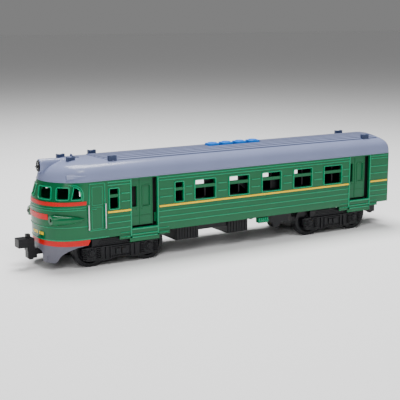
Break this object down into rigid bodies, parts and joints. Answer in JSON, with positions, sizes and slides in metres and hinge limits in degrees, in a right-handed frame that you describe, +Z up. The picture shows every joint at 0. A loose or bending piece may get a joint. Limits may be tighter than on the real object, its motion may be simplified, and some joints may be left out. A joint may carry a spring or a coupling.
{
  "type": "toy train head car",
  "caption": "Toy head car of an electric commuter train with sliding doors, sound buttons, friction drive, bogies and swinging couplers.",
  "frame": {"origin": "floor level under the middle of the overall length, couplers included", "axes": "-X towards the nose, +X towards the rear coupler, +Z up, +Y towards the side that is on the right hand when seen from the front"},
  "size_m": [0.2934, 0.0514, 0.0703],
  "materials": {
    "green_abs": "moulded green plastic, slightly glossy",
    "grey_roof_abs": "moulded light lavender-grey plastic",
    "grey_skirt_abs": "moulded mid-grey plastic",
    "black_abs": "moulded black plastic, satin",
    "blue_abs": "moulded blue plastic",
    "silver_paint": "bent wire with silver paint",
    "steel": "plain bright steel",
    "contact_brass": "thin brass strip",
    "clear_lens": "clear polished plastic",
    "silicone_rubber": "soft moulded pad",
    "circuit_board": "green laminate",
    "white_nylon": "natural nylon"
  },
  "bodies": {
    "car": {"body_shell": "green_abs", "roof": "grey_roof_abs", "front_skirt": "grey_skirt_abs", "chassis": "black_abs", "front_handrail_left": "silver_paint", "front_handrail_right": "silver_paint", "rear_handrail_left": "silver_paint", "rear_handrail_right": "silver_paint", "headlight_bezel": "black_abs", "headlight_lens": "clear_lens", "headlight_led": "white_nylon", "sound_board": "circuit_board", "speaker": "black_abs", "battery_cover": "black_abs", "battery_cover_screw": "steel", "button_cell_1": "steel", "button_cell_2": "steel", "button_cell_3": "steel", "battery_contact_minus": "contact_brass", "battery_contact_plus": "contact_brass", "button_pad": "silicone_rubber", "button_board": "circuit_board", "front_body_screw": "steel", "rear_body_screw": "steel", "front_bogie_screw": "steel", "front_coupler_pin": "steel", "rear_coupler_pin": "steel", "rear_bogie": "black_abs", "motor_case_left": "black_abs", "motor_case_right": "black_abs", "rear_bogie_screw_left": "steel", "rear_bogie_screw_right": "steel"},
    "front_bogie_body": {"front_bogie": "black_abs"},
    "wheelset_1": {"axle_1": "steel", "wheel_1_left": "black_abs", "wheel_1_right": "black_abs"},
    "wheelset_2": {"axle_2": "steel", "wheel_2_left": "black_abs", "wheel_2_right": "black_abs"},
    "wheelset_3": {"axle_3": "steel", "wheel_3_left": "black_abs", "wheel_3_right": "black_abs", "drive_gear": "white_nylon"},
    "wheelset_4": {"axle_4": "steel", "wheel_4_left": "black_abs", "wheel_4_right": "black_abs"},
    "idler": {"idler_gear": "white_nylon"},
    "flywheel_body": {"flywheel": "steel"},
    "front_coupler_body": {"front_coupler": "black_abs"},
    "rear_coupler_body": {"rear_coupler": "black_abs"},
    "doors_left": {"door_bar_left": "green_abs", "front_door_left": "green_abs", "rear_door_left": "green_abs"},
    "doors_right": {"door_bar_right": "green_abs", "front_door_right": "green_abs", "rear_door_right": "green_abs"},
    "button_1": {"sound_button_1": "blue_abs"},
    "button_2": {"sound_button_2": "blue_abs"},
    "button_3": {"sound_button_3": "blue_abs"},
    "button_4": {"sound_button_4": "blue_abs"}
  },
  "joints": [
    {"name": "front_bogie_swivel", "type": "hinge", "parent": "car", "child": "front_bogie_body", "pos_m": [-0.0851, 0, 0.012], "axis": [0, 0, 1], "range_deg": [-3, 3]},
    {"name": "wheelset_1_spin", "type": "hinge", "parent": "front_bogie_body", "child": "wheelset_1", "pos_m": [-0.1056, 0, 0.0116], "axis": [0, 1, 0], "continuous": true},
    {"name": "wheelset_2_spin", "type": "hinge", "parent": "front_bogie_body", "child": "wheelset_2", "pos_m": [-0.0646, 0, 0.0116], "axis": [0, 1, 0], "continuous": true},
    {"name": "wheelset_3_spin", "type": "hinge", "parent": "car", "child": "wheelset_3", "pos_m": [0.0674, 0, 0.0116], "axis": [0, 1, 0], "continuous": true},
    {"name": "wheelset_4_spin", "type": "hinge", "parent": "car", "child": "wheelset_4", "pos_m": [0.1084, 0, 0.0116], "axis": [0, 1, 0], "continuous": true},
    {"name": "idler_spin", "type": "hinge", "parent": "car", "child": "idler", "pos_m": [0.07568, 0, 0.0116], "axis": [0, 1, 0], "continuous": true},
    {"name": "flywheel_spin", "type": "hinge", "parent": "car", "child": "flywheel_body", "pos_m": [0.08346, 0, 0.01443], "axis": [0, 1, 0], "continuous": true},
    {"name": "front_coupler_swing", "type": "hinge", "parent": "car", "child": "front_coupler_body", "pos_m": [-0.1186, 0, 0.0106], "axis": [0, 0, 1], "range_deg": [-12, 12]},
    {"name": "rear_coupler_swing", "type": "hinge", "parent": "car", "child": "rear_coupler_body", "pos_m": [0.1244, 0, 0.0106], "axis": [0, 0, 1], "range_deg": [-12, 12]},
    {"name": "doors_left_slide", "type": "slide", "parent": "car", "child": "doors_left", "axis": [-1, 0, 0], "range_m": [-0.002, 0.0145]},
    {"name": "doors_right_slide", "type": "slide", "parent": "car", "child": "doors_right", "axis": [-1, 0, 0], "range_m": [-0.002, 0.0145]},
    {"name": "sound_button_1_press", "type": "slide", "parent": "car", "child": "button_1", "axis": [0, 0, -1], "range_m": [0, 0.001], "stiffness_N_per_m": 800, "springref_m": -0.0006},
    {"name": "sound_button_2_press", "type": "slide", "parent": "car", "child": "button_2", "axis": [0, 0, -1], "range_m": [0, 0.001], "stiffness_N_per_m": 800, "springref_m": -0.0006},
    {"name": "sound_button_3_press", "type": "slide", "parent": "car", "child": "button_3", "axis": [0, 0, -1], "range_m": [0, 0.001], "stiffness_N_per_m": 800, "springref_m": -0.0006},
    {"name": "sound_button_4_press", "type": "slide", "parent": "car", "child": "button_4", "axis": [0, 0, -1], "range_m": [0, 0.001], "stiffness_N_per_m": 800, "springref_m": -0.0006}
  ],
  "couplings": [
    {"joint": "idler_spin", "follows": "wheelset_3_spin", "ratio": -2},
    {"joint": "flywheel_spin", "follows": "wheelset_3_spin", "ratio": 4}
  ]
}
